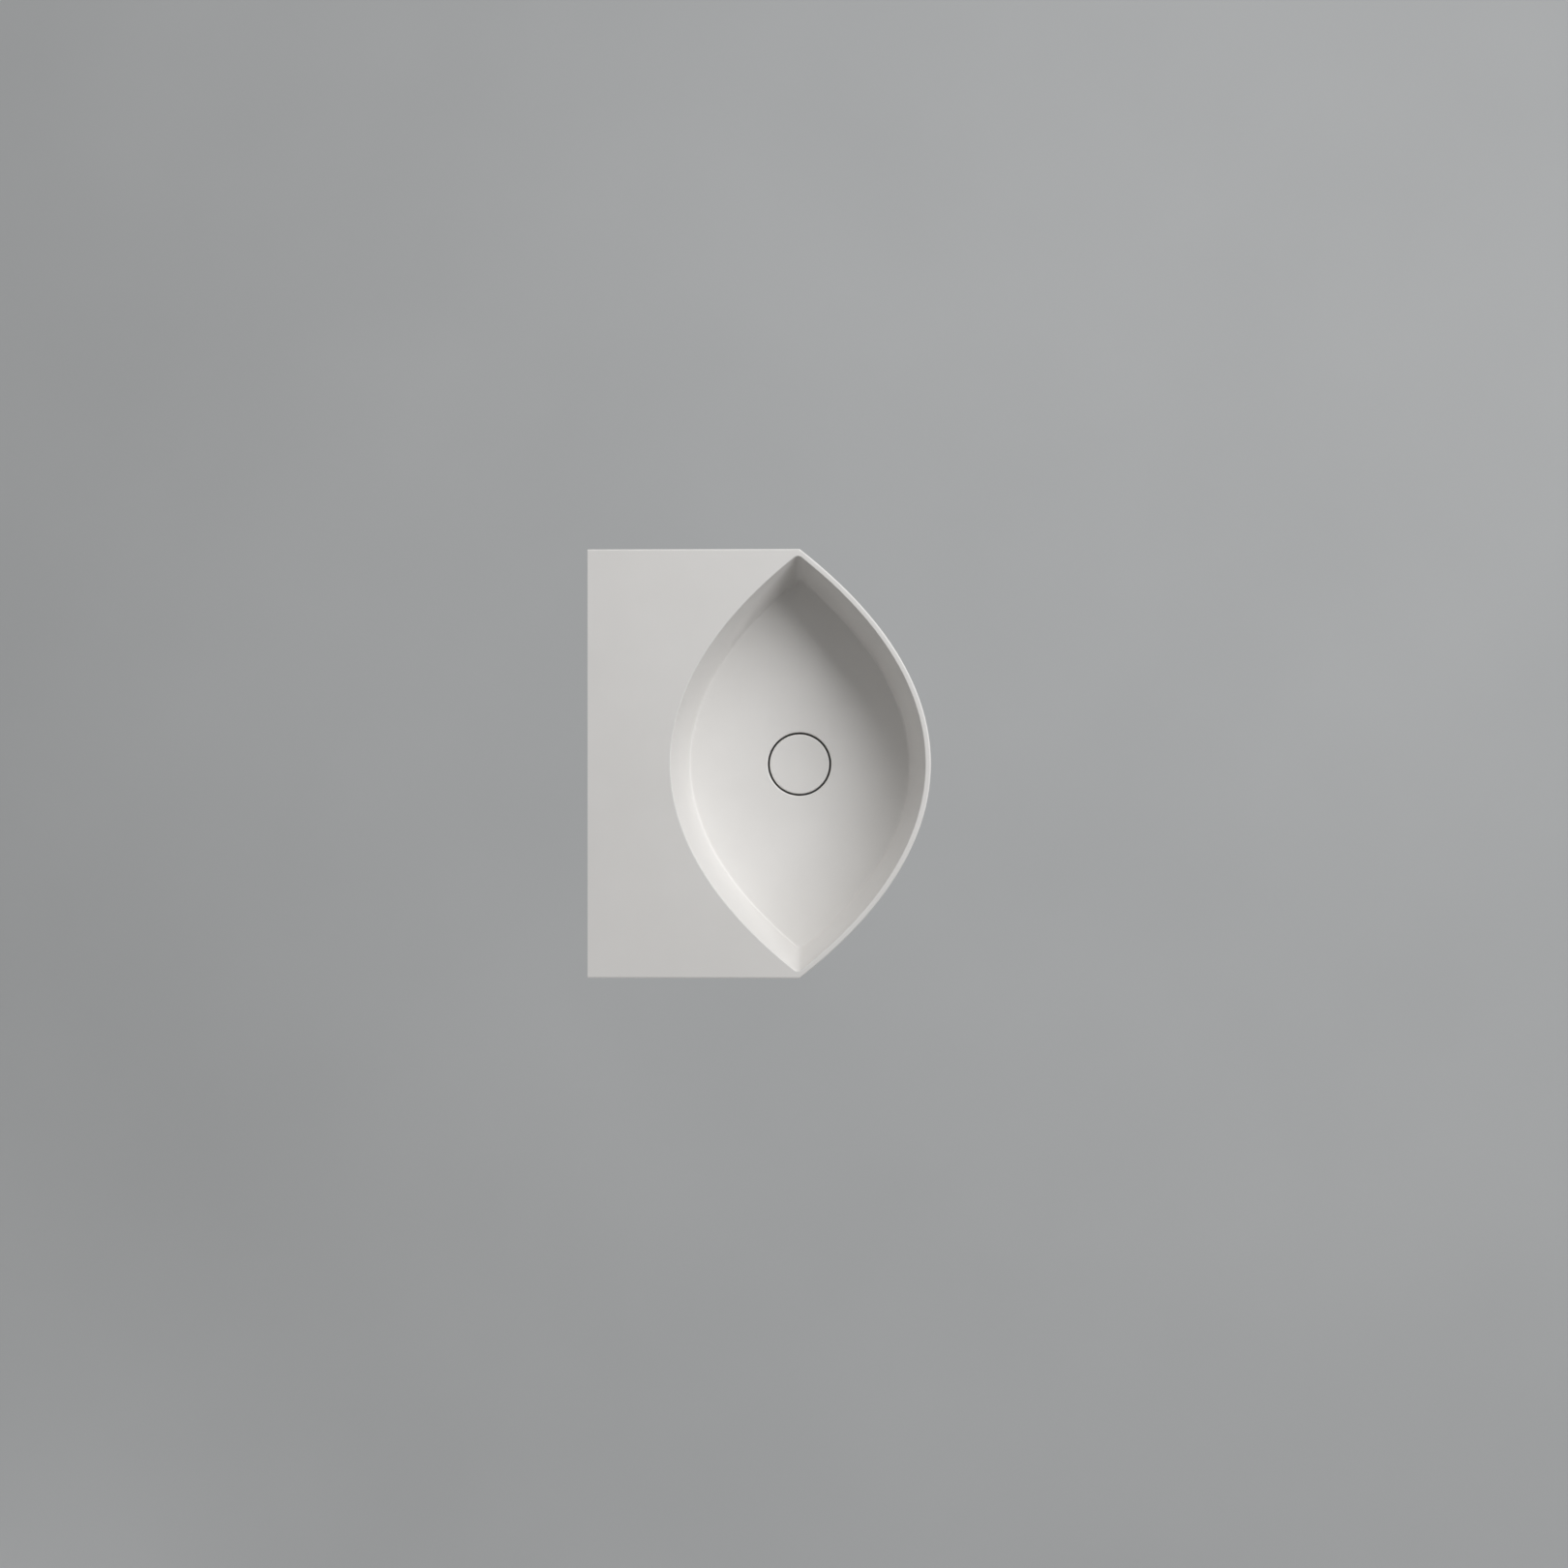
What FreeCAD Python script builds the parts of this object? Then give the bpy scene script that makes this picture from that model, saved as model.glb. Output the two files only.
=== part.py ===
"""A wall-hung basin: a rectangular shelf on the wall side, a pointed-oval bowl in front of it.

Millimetres, +Z up, +X along the wall, +Y into the wall. The wall is the plane y = 0 and the
origin is the middle of the four wall bolts. Every piece is written to parts/ as its own STEP file.
"""
import FreeCAD
import Part

import math
import os

# Casting: shelf and bowl in one piece
basin_width = 500.0
basin_depth = 400.0
basin_height = 140.0
rim_above_bolts = 65.0
rim_width = 6.7
tip_margin = 6.8
bowl_breadth = 296.6
bowl_handle_share = 0.362
drain_room = 43.0
dish_rise = 5.0
bowl_wall_inset = 16.4
bowl_tip_radius = 7.0
crease_radius = 3.0
rim_radius = 1.8
mouth_radius = 1.2
front_corner_radius = 1.5
bottom_edge_radius = 2.0
shelf_thickness = 15.0
side_wall = 14.0
bowl_wall = 11.0
floor_thickness = 12.0

# Drain seat in the bowl's floor, and its cover
cover_diameter = 71.5
cover_gap = 2.3
cover_thickness = 8.0
cover_edge_radius = 1.6
recess_depth = 18.0
recess_edge_radius = 1.6
drain_boss_wall = 10.0
drain_floor = 12.0
waste_hole_diameter = 45.0

# Waste body and what clamps it in the casting
waste_thread_diameter = 41.9
waste_bore_diameter = 36.0
waste_length = 60.0
waste_flange_thickness = 2.5
waste_mouth_diameter = 44.0
waste_mouth_depth = 6.0
thread_pitch = 2.3
thread_depth = 0.9
flange_gasket_thickness = 1.5
cone_gasket_diameter = 56.0
cone_gasket_thickness = 6.0
cone_gasket_nose = 4.0
slip_washer_diameter = 54.0
slip_washer_thickness = 1.5
back_nut_flats = 52.0
back_nut_thickness = 9.0
spider_depth = 24.0
spider_height = 9.0
spoke_width = 4.0
spoke_count = 3
hub_diameter = 22.0

# Push-open latch
plug_lift = 9.0
plug_disc_diameter = 56.0
plug_disc_thickness = 3.0
plug_neck_diameter = 18.0
plug_seal_height = 2.6
plug_seal_width = 2.6
plug_seal_groove = 1.0
plug_seal_margin = 1.0
carrier_stud_diameter = 12.0
carrier_stud_length = 4.5
stem_diameter = 8.0
stem_collar_diameter = 10.4
stem_collar_height = 4.0
sleeve_diameter = 15.0
sleeve_flange_diameter = 19.0
sleeve_flange_thickness = 2.0
sleeve_cap_thickness = 3.0
sleeve_top_gap = 1.2
latch_screw_thickness = 4.0
spring_wire = 0.9
spring_turns = 5
spring_length = 16.0

# Bottle trap
pipe_diameter = 32.0
pipe_wall = 1.5
union_nut_diameter = 50.0
union_nut_grip = 12.0
union_nut_lip = 3.0
inlet_washer_thickness = 2.0
inlet_collar_diameter = 39.5
inlet_collar_thickness = 3.0
inlet_tube_length = 148.0
head_below_waste = 50.0
head_diameter = 54.0
head_height = 42.0
head_wall = 3.0
neck_diameter = 40.0
neck_length = 12.0
neck_cone_depth = 4.0
neck_cone_diameter = 38.0
neck_nut_diameter = 47.0
neck_nut_lip = 3.0
neck_nut_engagement = 9.0
neck_seal_crown = 2.0
outlet_neck_reach = 42.0
cup_thread_diameter = 48.0
cup_thread_length = 12.0
cup_thread_wall = 3.0
cup_height = 86.0
cup_floor = 4.0
cup_foot_chamfer = 5.0
cup_seal_thickness = 2.0
cup_flute_length = 14.0
flute_count = 24
flute_diameter = 4.0
flute_depth = 0.8
nut_plain_edge = 2.0

# Outlet at the wall
outlet_spigot = 25.0
spigot_mark_depth = 0.4
spigot_mark_width = 1.0
rosette_diameter = 76.0
rosette_height = 9.0
rosette_sheet = 1.6
rosette_chamfer = 2.0
rosette_ring_thickness = 1.5
rosette_ring_width = 5.0

# Wall brackets and what fastens them
bracket_from_side = 70.0
wall_hole_spacing = 44.0
wall_hole_diameter = 11.0
bracket_width = 50.0
bracket_steel = 5.0
bracket_arm_length = 118.0
bracket_drop = 45.0
bracket_web_nose = 14.0
bracket_web_foot = 20.0
bracket_bend_radius = 4.0
pad_thickness = 2.0
pad_margin = 2.0
insert_boss_diameter = 28.0
insert_boss_height = 10.0
insert_diameter = 13.0
insert_length = 16.0
insert_base = 3.0
screw_diameter = 8.0
screw_hole_diameter = 9.0
screw_grip = 12.0
screw_head_flats = 13.0
screw_head_height = 5.3
screw_first_place = 42.0
screw_end_margin = 22.0
screw_washer_diameter = 18.0
screw_washer_thickness = 1.6

# Clearances and small edge breaks
running_gap = 0.08
free_gap = 0.3
edge_break = 0.6
overrun = 5.0
touch = 0.001

# A cubic curve reaches three quarters of the way to its two level handles
bezier_reach = 4.0 / 3.0
# How far past the bowl's crease the floor's dished surface is carried before it is trimmed
dish_reach_share = 1.4

# The bowl takes the casting's height, less the room that the drain needs under its floor
bowl_depth = basin_height - drain_room
bowl_wall_height = bowl_depth - dish_rise

# Heights of the casting
rim_z = rim_above_bolts
bottom_z = rim_z - basin_height
floor_z = rim_z - bowl_depth
shelf_under_z = rim_z - shelf_thickness

# The bowl's plan: two mirrored curves that meet in a point at each end
bowl_half_breadth = bowl_breadth / 2
bowl_half_length = basin_width / 2 - tip_margin
bowl_y = -(basin_depth - rim_width - bowl_half_breadth)
tip_slope = bezier_reach * bowl_half_breadth / (bowl_half_length * (1 - bowl_handle_share))
tip_stretch = math.sqrt(1 + tip_slope ** 2) / tip_slope
wall_slope = bowl_wall_inset / bowl_wall_height

# The front curve runs one rim width outside the bowl and meets the sides at the front corners
corner_lead = rim_width * math.sqrt(1 + tip_slope ** 2) - tip_margin * tip_slope
corner_y = bowl_y - corner_lead
front_bulge = bowl_half_breadth + rim_width - corner_lead

# The floor is a shallow dish that climbs to the crease at the bowl's ends and sides
dish_half_length = bowl_half_length - bowl_wall_inset * tip_stretch
dish_half_breadth = bowl_half_breadth - bowl_wall_inset

# The hollow under the casting leaves the side walls, and follows the bowl in front
hollow_half_width = basin_width / 2 - side_wall
hollow_inset = (side_wall - tip_margin) / tip_stretch
hollow_bulge = bowl_half_breadth - hollow_inset

# Drain seat: the cover lies level with the mean height of the recess's edge
recess_radius = cover_diameter / 2 + cover_gap
edge_shares = (recess_radius / dish_half_length) ** 2 + (recess_radius / dish_half_breadth) ** 2
cover_top_z = floor_z + dish_rise * edge_shares / 2
cover_low_z = cover_top_z - cover_thickness
seat_z = floor_z - recess_depth
boss_low_z = seat_z - drain_floor
boss_radius = recess_radius + drain_boss_wall

# Waste
waste_radius = waste_thread_diameter / 2
flange_radius = recess_radius - free_gap
flange_low_z = seat_z + flange_gasket_thickness
flange_top_z = flange_low_z + waste_flange_thickness
waste_end_z = flange_low_z - waste_length
hub_top_z = flange_top_z - spider_depth
hub_low_z = hub_top_z - spider_height
gasket_low_z = boss_low_z - cone_gasket_thickness
washer_low_z = gasket_low_z - slip_washer_thickness
nut_low_z = washer_low_z - back_nut_thickness

# Latch, at rest with the cover down
seal_low_z = flange_top_z + free_gap
disc_low_z = seal_low_z + plug_seal_height - plug_seal_groove
disc_top_z = disc_low_z + plug_disc_thickness
seal_outer = plug_disc_diameter / 2 - plug_seal_margin
seal_inner = seal_outer - plug_seal_width
sleeve_top_z = disc_low_z - sleeve_top_gap
sleeve_cap_z = sleeve_top_z - sleeve_cap_thickness
collar_top_z = sleeve_cap_z - plug_lift - free_gap
collar_low_z = collar_top_z - stem_collar_height
spring_low_z = collar_low_z - spring_length
latch_low_z = spring_low_z - latch_screw_thickness
chamber_radius = stem_collar_diameter / 2 + running_gap

# Trap
pipe_radius = pipe_diameter / 2
pipe_bore = pipe_radius - pipe_wall
pipe_hole = pipe_radius + free_gap
tube_top_z = waste_end_z - inlet_washer_thickness
inlet_nut_floor_z = tube_top_z - inlet_collar_thickness
neck_top_z = waste_end_z - head_below_waste
head_top_z = neck_top_z - neck_length
head_low_z = head_top_z - head_height
outlet_z = (head_top_z + head_low_z) / 2
head_radius = head_diameter / 2
neck_radius = neck_diameter / 2
cup_bore = cup_thread_diameter / 2 + free_gap
cup_seal_top_z = head_low_z - free_gap
cup_top_z = cup_seal_top_z - cup_seal_thickness
cup_low_z = cup_top_z - cup_height
outlet_neck_y = bowl_y + outlet_neck_reach
outlet_stop_y = outlet_neck_y - neck_length

# Wall brackets
bracket_x = basin_width / 2 - bracket_from_side
boss_under_z = shelf_under_z - insert_boss_height
arm_top_z = boss_under_z - pad_thickness
arm_low_z = arm_top_z - bracket_steel
screw_seat_z = arm_low_z - screw_washer_thickness
screw_reaches = (screw_first_place, bracket_arm_length - screw_end_margin)
screw_places = [(side * bracket_x, -reach) for side in (-1, 1) for reach in screw_reaches]


def vec(x, y, z):
    """A point or a direction."""
    return FreeCAD.Vector(x, y, z)


def straight(start, end):
    """A straight edge between two points."""
    return Part.LineSegment(start, end).toShape()


def box(x_low, x_high, y_low, y_high, z_low, z_high):
    """A box between two corners."""
    return Part.makeBox(x_high - x_low, y_high - y_low, z_high - z_low, vec(x_low, y_low, z_low))


def cylinder(radius, z_low, z_high, x=0, y=0):
    """An upright cylinder."""
    return Part.makeCylinder(radius, z_high - z_low, vec(x, y, z_low))


def wall_cylinder(radius, y_low, y_high, x, z):
    """A cylinder square to the wall."""
    return Part.makeCylinder(radius, y_high - y_low, vec(x, y_low, z), vec(0, 1, 0))


def lathe(profile, x=0, y=bowl_y):
    """A turned piece on an upright axis, from a closed profile of (radius, height) points."""
    points = [vec(x + radius, y, height) for radius, height in profile]
    face = Part.Face(Part.makePolygon(points + points[:1]))
    return face.revolve(vec(x, y, 0), vec(0, 0, 1), 360)


def wall_lathe(profile):
    """A turned piece on the outlet's axis, square to the wall, from (radius, y) points."""
    points = [vec(radius, y, outlet_z) for radius, y in profile]
    face = Part.Face(Part.makePolygon(points + points[:1]))
    return face.revolve(vec(0, 0, outlet_z), vec(0, 1, 0), 360)


def ring_profile(outer, inner, low, high, chamfer=0):
    """The profile of a ring, with its two outer edges broken if asked."""
    if chamfer == 0:
        return [(inner, low), (outer, low), (outer, high), (inner, high)]
    lower = [(inner, low), (outer - chamfer, low), (outer, low + chamfer)]
    upper = [(outer, high - chamfer), (outer - chamfer, high), (inner, high)]
    return lower + upper


def hexagon(flats, z_low, z_high, x=0, y=bowl_y):
    """An upright hexagonal block, given across its flats, with its corners turned off."""
    flat = flats / 2
    reach = flats / math.sqrt(3)
    turns = [math.radians(60 * corner) for corner in range(6)]
    corners = [vec(x + reach * math.cos(turn), y + reach * math.sin(turn), z_low) for turn in turns]
    block = Part.Face(Part.makePolygon(corners + corners[:1])).extrude(vec(0, 0, z_high - z_low))
    rise = (reach - flat) / math.sqrt(3)
    lower = [(0, z_low), (flat, z_low), (reach, z_low + rise)]
    upper = [(reach, z_high - rise), (flat, z_high), (0, z_high)]
    return block.common(lathe(lower + upper, x, y))


def fluted(shape, radius, z_low, z_high, x=0, y=bowl_y):
    """A round piece with shallow upright flutes cut round it for the hand."""
    reach = radius + flute_diameter / 2 - flute_depth
    for step in range(flute_count):
        turn = math.radians(360 * step / flute_count)
        flute_x = x + reach * math.cos(turn)
        flute_y = y + reach * math.sin(turn)
        shape = shape.cut(cylinder(flute_diameter / 2, z_low, z_high, flute_x, flute_y))
    return shape


def level_edges(shape, height):
    """The edges of a shape that lie level at one height."""
    def level(edge):
        heights = [vertex.Point.z for vertex in edge.Vertexes] + [edge.CenterOfMass.z]
        return all(abs(place - height) < touch for place in heights)
    return [edge for edge in shape.Edges if level(edge)]


def off_wall(edges):
    """Those edges that don't lie in the wall's plane."""
    return [edge for edge in edges if abs(edge.CenterOfMass.y) > touch]


def pointed_curve(half_length, bulge, y, z, side):
    """Half a pointed oval: a curve from tip to tip that bulges away from or towards the wall."""
    handle = bowl_handle_share * half_length
    crown = y + side * bezier_reach * bulge
    curve = Part.BezierCurve()
    tips = vec(-half_length, y, z), vec(half_length, y, z)
    curve.setPoles([tips[0], vec(-handle, crown, z), vec(handle, crown, z), tips[1]])
    return curve.toShape()


def pointed_oval(inset, z):
    """The bowl's plan at one height, drawn in from its rim by the inset."""
    half_length = bowl_half_length - inset * tip_stretch
    bulge = bowl_half_breadth - inset
    return Part.Wire([pointed_curve(half_length, bulge, bowl_y, z, side) for side in (-1, 1)])


def shelf_and_front(half_width, front_y, bulge, back_y, z_low, z_high):
    """A block with straight sides, a straight back and the pointed front curve."""
    front = pointed_curve(half_width, bulge, front_y, z_low, -1)
    right = straight(vec(half_width, front_y, z_low), vec(half_width, back_y, z_low))
    back = straight(vec(half_width, back_y, z_low), vec(-half_width, back_y, z_low))
    left = straight(vec(-half_width, back_y, z_low), vec(-half_width, front_y, z_low))
    return Part.Face(Part.Wire([front, right, back, left])).extrude(vec(0, 0, z_high - z_low))


def funnel(growth):
    """The bowl's sloping wall as a solid, from over the rim to under the floor, grown outwards."""
    high = rim_z + overrun
    low = floor_z - floor_thickness - overrun
    ends = [pointed_oval(wall_slope * (rim_z - z) - growth, z) for z in (high, low)]
    solid = Part.makeLoft(ends, True, True)
    tips = [edge for edge in solid.Edges if edge.BoundBox.ZLength > overrun]
    return solid.makeFillet(bowl_tip_radius + growth, tips)


def above_dish(drop):
    """All the space above the floor's dished surface, let down by the drop."""
    signs = (1, -1, 1)
    rise = dish_rise * dish_reach_share ** 2
    surface = Part.BezierSurface()
    surface.increase(2, 2)
    for row in range(3):
        for column in range(3):
            x = (row - 1) * dish_reach_share * dish_half_length
            y = bowl_y + (column - 1) * dish_reach_share * dish_half_breadth
            z = floor_z - drop + rise * (signs[row] + signs[column])
            surface.setPole(row + 1, column + 1, vec(x, y, z))
    return surface.toShape().extrude(vec(0, 0, basin_height + overrun))


def bowl_space():
    """The inside of the bowl, with the crease round its floor softened."""
    space = funnel(0).common(above_dish(0))
    low_faces = [face for face in space.Faces if face.CenterOfMass.z < rim_z - bowl_wall_height]
    return space.makeFillet(crease_radius, low_faces[0].Edges)


def make_basin_body():
    """The casting: shelf, sides, bowl, drain seat and the bosses for the brackets."""
    block = shelf_and_front(basin_width / 2, corner_y, front_bulge, 0, bottom_z, rim_z)
    uprights = [edge for edge in block.Edges if edge.BoundBox.ZLength > basin_height - touch]
    block = block.makeFillet(front_corner_radius, off_wall(uprights))
    block = block.makeFillet(rim_radius, off_wall(level_edges(block, rim_z)))
    block = block.makeFillet(bottom_edge_radius, off_wall(level_edges(block, bottom_z)))

    low = bottom_z - overrun
    hollow = shelf_and_front(hollow_half_width, bowl_y, hollow_bulge, overrun, low, shelf_under_z)
    shell = funnel(bowl_wall).common(above_dish(floor_thickness))
    body = block.cut(hollow.cut(shell))

    body = body.fuse(cylinder(boss_radius, boss_low_z, floor_z, 0, bowl_y))
    for x, y in screw_places:
        body = body.fuse(cylinder(insert_boss_diameter / 2, boss_under_z, shelf_under_z + touch, x, y))
    body = body.cut(bowl_space())
    body = body.cut(cylinder(recess_radius, seat_z, floor_z + basin_height, 0, bowl_y))
    body = body.cut(cylinder(waste_hole_diameter / 2, boss_low_z - overrun, seat_z + overrun, 0, bowl_y))
    insert_end_z = boss_under_z + insert_length
    for x, y in screw_places:
        body = body.cut(cylinder(insert_diameter / 2, boss_under_z - overrun, insert_end_z, x, y))
    body = body.removeSplitter()

    tops = [face for face in body.Faces if is_level_face(face, rim_z)]
    mouth = [edge for wire in tops[0].Wires if not wire.isSame(tops[0].OuterWire) for edge in wire.Edges]
    body = body.makeFillet(mouth_radius, mouth)
    walls = [face for face in body.Faces if is_turned_face(face, recess_radius)]
    wall_edges = [edge for face in walls for edge in face.Edges]
    lips = [edge for edge in wall_edges if edge.BoundBox.ZMin > floor_z - recess_edge_radius]
    return body.makeFillet(recess_edge_radius, [edge for edge in lips if edge.Length > recess_radius / 2])


def is_level_face(face, height):
    """Whether a face lies level at this height."""
    return abs(face.BoundBox.ZMin - height) < touch and face.BoundBox.ZLength < touch


def is_turned_face(face, radius):
    """Whether a face is an upright cylinder of this radius on the drain's axis."""
    surface = face.Surface
    if not isinstance(surface, Part.Cylinder) or abs(surface.Radius - radius) > touch:
        return False
    return abs(surface.Center.x) < touch and abs(surface.Center.y - bowl_y) < touch


def make_drain_cover():
    """The white round cover, with a blind hole for its carrier."""
    radius = cover_diameter / 2
    cover = cylinder(radius, cover_low_z, cover_top_z, 0, bowl_y)
    cover = cover.makeFillet(cover_edge_radius, level_edges(cover, cover_top_z))
    cover = cover.makeChamfer(edge_break, level_edges(cover, cover_low_z))
    hole_top = cover_low_z + carrier_stud_length
    return cover.cut(cylinder(carrier_stud_diameter / 2, cover_low_z - overrun, hole_top, 0, bowl_y))


def make_cover_carrier():
    """The brass disc under the cover: its stud is bonded in the cover, its groove holds the seal."""
    stud_top = cover_low_z + carrier_stud_length
    profile = [
        (stem_diameter / 2, disc_low_z), (seal_inner, disc_low_z),
        (seal_inner, disc_low_z + plug_seal_groove), (seal_outer, disc_low_z + plug_seal_groove),
        (seal_outer, disc_low_z), (plug_disc_diameter / 2, disc_low_z),
        (plug_disc_diameter / 2, disc_top_z - edge_break), (plug_disc_diameter / 2 - edge_break, disc_top_z),
        (plug_neck_diameter / 2, disc_top_z), (plug_neck_diameter / 2, cover_low_z),
        (carrier_stud_diameter / 2, cover_low_z), (carrier_stud_diameter / 2, stud_top),
        (0, stud_top), (0, disc_top_z), (stem_diameter / 2, disc_top_z),
    ]
    return lathe(profile)


def make_plug_seal():
    """The rubber ring that closes on the waste's flange."""
    return lathe(ring_profile(seal_outer, seal_inner, seal_low_z, disc_low_z + plug_seal_groove))


def make_plunger_stem():
    """The stem that the carrier is screwed on, with the collar that runs in the latch."""
    stem = stem_diameter / 2
    collar = stem_collar_diameter / 2
    profile = [
        (0, collar_low_z), (collar - edge_break, collar_low_z), (collar, collar_low_z + edge_break),
        (collar, collar_top_z), (stem, collar_top_z), (stem, disc_top_z), (0, disc_top_z),
    ]
    return lathe(profile)


def make_latch_sleeve():
    """The guide sleeve: a cap that the stem runs through, over a chamber for collar and spring."""
    outer = sleeve_diameter / 2
    flange = sleeve_flange_diameter / 2
    guide = stem_diameter / 2 + running_gap
    profile = [
        (chamber_radius, latch_low_z), (outer, latch_low_z), (outer, hub_top_z), (flange, hub_top_z),
        (flange, hub_top_z + sleeve_flange_thickness), (outer, hub_top_z + sleeve_flange_thickness),
        (outer, sleeve_top_z - edge_break), (outer - edge_break, sleeve_top_z), (guide, sleeve_top_z),
        (guide, sleeve_cap_z), (chamber_radius, sleeve_cap_z),
    ]
    return lathe(profile)


def make_latch_screw():
    """The slotted screw that closes the sleeve's lower end."""
    screw = cylinder(chamber_radius, latch_low_z, spring_low_z, 0, bowl_y)
    depth = latch_screw_thickness / 3
    side = depth / 2
    slot_top = latch_low_z + depth
    slot = box(-chamber_radius, chamber_radius, bowl_y - side, bowl_y + side, latch_low_z, slot_top)
    return screw.cut(slot)


def make_latch_spring():
    """The spring that lifts the stem: wire wound between the latch screw and the collar."""
    radius = chamber_radius - spring_wire / 2 - free_gap
    quarters = 4 * spring_turns
    low = spring_low_z + spring_wire / 2 + running_gap
    rise = (spring_length - spring_wire - 2 * running_gap) / quarters

    def place(quarter):
        turn = math.radians(90 * quarter)
        return vec(radius * math.cos(turn), bowl_y + radius * math.sin(turn), low + rise * quarter)

    arcs = [Part.Arc(place(step), place(step + 1 / 2), place(step + 1)).toShape() for step in range(quarters)]
    path = Part.Wire(arcs)
    start = arcs[0]
    along = start.tangentAt(start.FirstParameter)
    section = Part.Wire([Part.makeCircle(spring_wire / 2, place(0), along)])
    return path.makePipeShell([section], True, False)


def make_waste_body():
    """The flanged waste tube, threaded below the bowl, with a spider that carries the latch."""
    bore = waste_bore_diameter / 2
    profile = [(bore, waste_end_z)]
    ridges = int((boss_low_z - waste_end_z) / thread_pitch)
    for ridge in range(ridges):
        low = waste_end_z + ridge * thread_pitch
        profile += [(waste_radius - thread_depth, low), (waste_radius, low + thread_pitch / 2)]
    profile += [
        (waste_radius - thread_depth, waste_end_z + ridges * thread_pitch),
        (waste_radius, waste_end_z + ridges * thread_pitch + thread_pitch / 2),
        (waste_radius, flange_low_z), (flange_radius, flange_low_z),
        (flange_radius, flange_top_z - edge_break), (flange_radius - edge_break, flange_top_z),
        (waste_mouth_diameter / 2, flange_top_z), (bore, flange_top_z - waste_mouth_depth),
    ]
    body = lathe(profile)
    hub = lathe(ring_profile(hub_diameter / 2, sleeve_diameter / 2, hub_low_z, hub_top_z))
    middle = (hub_diameter / 2 + sleeve_diameter / 2) / 2
    side = spoke_width / 2
    spoke = box(middle, bore + pipe_wall, bowl_y - side, bowl_y + side, hub_low_z, hub_top_z)
    body = body.fuse(hub)
    for step in range(spoke_count):
        turned = spoke.copy()
        turned.rotate(vec(0, bowl_y, 0), vec(0, 0, 1), 360 * step / spoke_count)
        body = body.fuse(turned)
    return body.removeSplitter()


def make_flange_gasket():
    """The flat gasket between the waste's flange and the drain seat."""
    return lathe(ring_profile(flange_radius, waste_hole_diameter / 2, seat_z, flange_low_z))


def make_cone_gasket():
    """The rubber gasket under the bowl, whose nose centres the waste in its hole."""
    outer = cone_gasket_diameter / 2
    nose = waste_hole_diameter / 2 - free_gap
    nose_z = boss_low_z + cone_gasket_nose
    profile = [
        (waste_radius, gasket_low_z), (outer, gasket_low_z), (outer, boss_low_z), (nose, boss_low_z),
        (waste_radius + free_gap, nose_z), (waste_radius, nose_z),
    ]
    return lathe(profile)


def make_slip_washer():
    """The washer that lets the back nut turn without dragging the gasket."""
    return lathe(ring_profile(slip_washer_diameter / 2, waste_radius, washer_low_z, gasket_low_z))


def make_back_nut():
    """The hexagonal nut that clamps the waste in the casting."""
    nut = hexagon(back_nut_flats, nut_low_z, washer_low_z)
    return nut.cut(cylinder(waste_radius, nut_low_z - overrun, washer_low_z + overrun, 0, bowl_y))


def make_inlet_nut():
    """The union nut that holds the inlet tube's collar to the waste's end."""
    outer = union_nut_diameter / 2
    low = inlet_nut_floor_z - union_nut_lip
    high = waste_end_z + union_nut_grip
    profile = [
        (pipe_hole, low), (outer - edge_break, low), (outer, low + edge_break), (outer, high - edge_break),
        (outer - edge_break, high), (waste_radius, high), (waste_radius, inlet_nut_floor_z),
        (pipe_hole, inlet_nut_floor_z),
    ]
    return fluted(lathe(profile), outer, low + nut_plain_edge, high - nut_plain_edge)


def make_inlet_washer():
    """The flat washer between the waste's end and the inlet tube's collar."""
    return lathe(ring_profile(inlet_collar_diameter / 2, pipe_bore, tube_top_z, waste_end_z))


def make_inlet_tube():
    """The collared tube that carries the water down into the cup."""
    low = tube_top_z - inlet_tube_length
    collar = inlet_collar_diameter / 2
    profile = [
        (pipe_bore, low), (pipe_radius, low), (pipe_radius, inlet_nut_floor_z),
        (collar, inlet_nut_floor_z), (collar, tube_top_z), (pipe_bore, tube_top_z),
    ]
    return lathe(profile)


def make_trap_head():
    """The trap's head: a neck for the inlet tube, a side neck for the outlet, a thread for the cup."""
    thread_low_z = head_low_z - cup_thread_length
    shell = lathe(ring_profile(head_radius, 0, head_low_z, head_top_z, edge_break))
    shell = shell.fuse(cylinder(neck_radius, head_top_z - overrun, neck_top_z, 0, bowl_y))
    shell = shell.fuse(cylinder(cup_thread_diameter / 2, thread_low_z, head_low_z + overrun, 0, bowl_y))
    shell = shell.fuse(wall_cylinder(neck_radius, bowl_y, outlet_neck_y, 0, outlet_z))
    room = cup_thread_diameter / 2 - cup_thread_wall
    shell = shell.cut(cylinder(room, thread_low_z - overrun, outlet_z, 0, bowl_y))
    inside = head_radius - head_wall
    shell = shell.cut(cylinder(inside, head_low_z + head_wall, head_top_z - head_wall, 0, bowl_y))
    cone = neck_cone_diameter / 2
    upper = [(0, head_low_z), (pipe_hole, head_low_z), (pipe_hole, neck_top_z - neck_cone_depth)]
    shell = shell.cut(lathe(upper + [(cone, neck_top_z), (0, neck_top_z)]))
    side = [(0, outlet_stop_y), (pipe_hole, outlet_stop_y), (pipe_hole, outlet_neck_y - neck_cone_depth)]
    shell = shell.cut(wall_lathe(side + [(cone, outlet_neck_y), (0, outlet_neck_y)]))
    return shell.cut(wall_cylinder(pipe_bore, bowl_y, outlet_neck_y, 0, outlet_z)).removeSplitter()


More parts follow.
